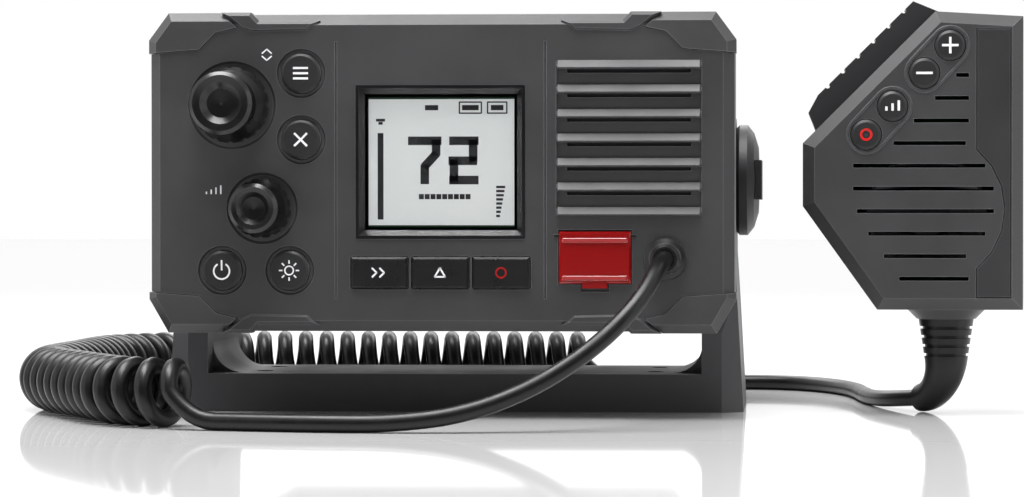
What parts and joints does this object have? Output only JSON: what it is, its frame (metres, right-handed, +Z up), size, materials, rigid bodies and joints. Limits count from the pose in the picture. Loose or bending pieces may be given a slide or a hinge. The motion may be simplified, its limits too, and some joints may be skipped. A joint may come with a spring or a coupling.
{
  "type": "marine radio",
  "caption": "Fixed-mount marine radio with a face full of knobs and keys, on a tilting gimbal bracket, with a fist microphone on a curly cord.",
  "frame": {"origin": "centre of the bracket's screw pattern, on the surface that the bracket stands on", "axes": "+X to the right as the face is seen, +Y from the face to the back, +Z up"},
  "size_m": [0.3041, 0.2294, 0.1229],
  "materials": {
    "housing": "fine moulded grain, dark grey",
    "trim": "satin black",
    "rubber": "soft matt black",
    "window": "clear",
    "display": "pale lit display",
    "red": "red",
    "pcb": "green board",
    "case": "matt black paint on a casting",
    "steel": "plain"
  },
  "bodies": {
    "base": {"gimbal_bracket": "housing", "mic_front_shell": "housing", "mic_side_band": "trim", "mic_seal": "rubber", "mic_rear_shell": "housing", "mic_hang_stud": "housing", "mic_board": "pcb", "mic_speaker": "trim", "mic_capsule": "trim", "mic_collar": "housing", "mic_boot": "rubber", "mic_screws": "steel", "curly_cord": "rubber", "mic_lead": "rubber"},
    "radio": {"antenna_socket": "steel", "case_screws": "steel", "case_seal": "rubber", "cord_gland": "rubber", "corner_cap_bottom_left": "housing", "corner_cap_bottom_right": "housing", "corner_cap_top_left": "housing", "corner_cap_top_right": "housing", "data_socket": "steel", "distress_hinge_pin": "steel", "friction_washer_left": "rubber", "friction_washer_right": "rubber", "front_bezel": "housing", "front_board": "pcb", "front_lead": "rubber", "key_mat": "rubber", "lcd_panel": "display", "main_board": "pcb", "power_socket": "steel", "rear_case": "case", "screen_frame": "trim", "screen_window": "window", "speaker": "trim", "speaker_mesh": "steel", "transmitter_shield": "steel"},
    "mic_up_key_body": {"mic_up_key": "rubber"},
    "mic_down_key_body": {"mic_down_key": "rubber"},
    "mic_power_key_body": {"mic_power_key": "rubber"},
    "mic_channel_key_body": {"mic_channel_key": "rubber"},
    "menu_key_body": {"menu_key": "rubber"},
    "close_key_body": {"close_key": "rubber"},
    "power_key_body": {"power_key": "rubber"},
    "light_key_body": {"light_key": "rubber"},
    "softkey_left_body": {"softkey_left": "rubber"},
    "softkey_middle_body": {"softkey_middle": "rubber"},
    "softkey_right_body": {"softkey_right": "rubber"},
    "clamp_knob_left_body": {"clamp_knob_left": "housing"},
    "clamp_knob_right_body": {"clamp_knob_right": "housing"},
    "channel_encoder_body": {"channel_encoder": "trim"},
    "channel_knob_body": {"channel_knob": "housing"},
    "volume_encoder_body": {"volume_encoder": "trim"},
    "volume_knob_body": {"volume_knob": "housing"},
    "distress_cover_body": {"distress_cover": "red"},
    "distress_key_body": {"distress_key": "red"},
    "talk_key_body": {"talk_key": "rubber"}
  },
  "joints": [
    {"name": "radio_tilt", "type": "hinge", "parent": "base", "child": "radio", "pos_m": [0, 0, 0.07], "axis": [1, 0, 0], "range_deg": [-15, 15]},
    {"name": "clamp_left_turn", "type": "hinge", "parent": "radio", "child": "clamp_knob_left_body", "pos_m": [-0.08, 0, 0.07], "axis": [1, 0, 0], "range_deg": [0, 180]},
    {"name": "clamp_right_turn", "type": "hinge", "parent": "radio", "child": "clamp_knob_right_body", "pos_m": [0.08, 0, 0.07], "axis": [1, 0, 0], "range_deg": [0, 180]},
    {"name": "channel_push", "type": "slide", "parent": "radio", "child": "channel_encoder_body", "axis": [0, 1, 0], "range_m": [0, 0.0008], "stiffness_N_per_m": 600},
    {"name": "channel_turn", "type": "hinge", "parent": "channel_encoder_body", "child": "channel_knob_body", "pos_m": [-0.0607, -0.065, 0.0911], "axis": [0, 1, 0], "continuous": true},
    {"name": "volume_push", "type": "slide", "parent": "radio", "child": "volume_encoder_body", "axis": [0, 1, 0], "range_m": [0, 0.0008], "stiffness_N_per_m": 600},
    {"name": "volume_turn", "type": "hinge", "parent": "volume_encoder_body", "child": "volume_knob_body", "pos_m": [-0.0519, -0.065, 0.0612], "axis": [0, 1, 0], "continuous": true},
    {"name": "menu_key_press", "type": "slide", "parent": "radio", "child": "menu_key_body", "axis": [0, 1, 0], "range_m": [0, 0.0008], "stiffness_N_per_m": 300},
    {"name": "close_key_press", "type": "slide", "parent": "radio", "child": "close_key_body", "axis": [0, 1, 0], "range_m": [0, 0.0008], "stiffness_N_per_m": 300},
    {"name": "power_key_press", "type": "slide", "parent": "radio", "child": "power_key_body", "axis": [0, 1, 0], "range_m": [0, 0.0008], "stiffness_N_per_m": 300},
    {"name": "light_key_press", "type": "slide", "parent": "radio", "child": "light_key_body", "axis": [0, 1, 0], "range_m": [0, 0.0008], "stiffness_N_per_m": 300},
    {"name": "softkey_left_press", "type": "slide", "parent": "radio", "child": "softkey_left_body", "axis": [0, 1, 0], "range_m": [0, 0.0008], "stiffness_N_per_m": 300},
    {"name": "softkey_middle_press", "type": "slide", "parent": "radio", "child": "softkey_middle_body", "axis": [0, 1, 0], "range_m": [0, 0.0008], "stiffness_N_per_m": 300},
    {"name": "softkey_right_press", "type": "slide", "parent": "radio", "child": "softkey_right_body", "axis": [0, 1, 0], "range_m": [0, 0.0008], "stiffness_N_per_m": 300},
    {"name": "distress_cover_open", "type": "hinge", "parent": "radio", "child": "distress_cover_body", "pos_m": [0.0448, -0.0651, 0.0534], "axis": [-1, 0, 0], "range_deg": [0, 95], "stiffness_Nm_per_rad": 0.002, "springref_deg": -28.65},
    {"name": "distress_key_press", "type": "slide", "parent": "radio", "child": "distress_key_body", "axis": [0, 1, 0], "range_m": [0, 0.0009], "stiffness_N_per_m": 300},
    {"name": "talk_key_press", "type": "slide", "parent": "base", "child": "talk_key_body", "axis": [0.7051, 0, -0.7091], "range_m": [0, 0.0015], "stiffness_N_per_m": 500},
    {"name": "mic_up_key_press", "type": "slide", "parent": "base", "child": "mic_up_key_body", "axis": [0, 1, 0], "range_m": [0, 0.0006], "stiffness_N_per_m": 300},
    {"name": "mic_down_key_press", "type": "slide", "parent": "base", "child": "mic_down_key_body", "axis": [0, 1, 0], "range_m": [0, 0.0006], "stiffness_N_per_m": 300},
    {"name": "mic_power_key_press", "type": "slide", "parent": "base", "child": "mic_power_key_body", "axis": [0, 1, 0], "range_m": [0, 0.0006], "stiffness_N_per_m": 300},
    {"name": "mic_channel_key_press", "type": "slide", "parent": "base", "child": "mic_channel_key_body", "axis": [0, 1, 0], "range_m": [0, 0.0006], "stiffness_N_per_m": 300}
  ]
}
